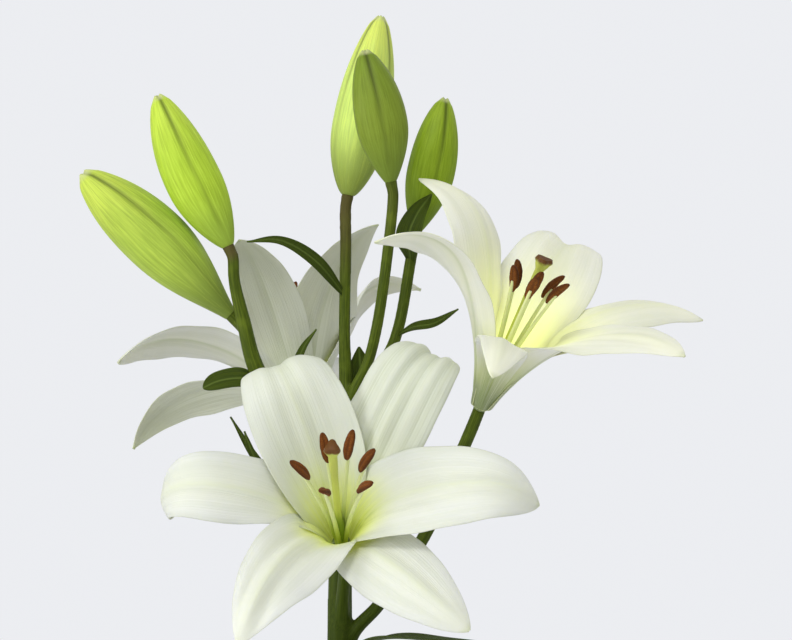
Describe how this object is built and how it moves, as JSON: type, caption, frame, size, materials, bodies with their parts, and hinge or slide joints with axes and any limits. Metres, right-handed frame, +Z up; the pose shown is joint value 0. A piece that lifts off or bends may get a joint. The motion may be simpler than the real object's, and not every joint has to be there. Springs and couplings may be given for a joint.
{
  "type": "lilies in a vase",
  "caption": "Stem of white lilies with open blooms, green buds and narrow leaves, standing in water in a plain pale bottle vase.",
  "frame": {"origin": "centre of the vase's flat foot", "axes": "+Z up along the vase's axis and the stem, -Y towards the side that the spray is looked at from, +X to the right as seen from there"},
  "size_m": [0.2808, 0.2719, 0.5715],
  "materials": {
    "glaze": "plain pale glaze, satin to glossy",
    "water": "clear water",
    "stem": "fresh green plant skin, satin",
    "bud": "fresh yellow-green bud, satin",
    "tepal": "soft white petal, slightly waxy",
    "stamen": "yellow-green filaments with powdery rust-brown anthers"
  },
  "bodies": {
    "root": {"vase": "glaze", "water": "water", "leafy_stem": "stem", "bud_a": "bud", "bud_b": "bud", "bud_c": "bud", "bud_d": "bud", "bud_e": "bud", "bloom_1_tepals": "tepal", "bloom_1_stamens": "stamen", "bloom_2_tepals": "tepal", "bloom_2_stamens": "stamen", "bloom_3_tepals": "tepal", "bloom_3_stamens": "stamen"}
  },
  "joints": []
}
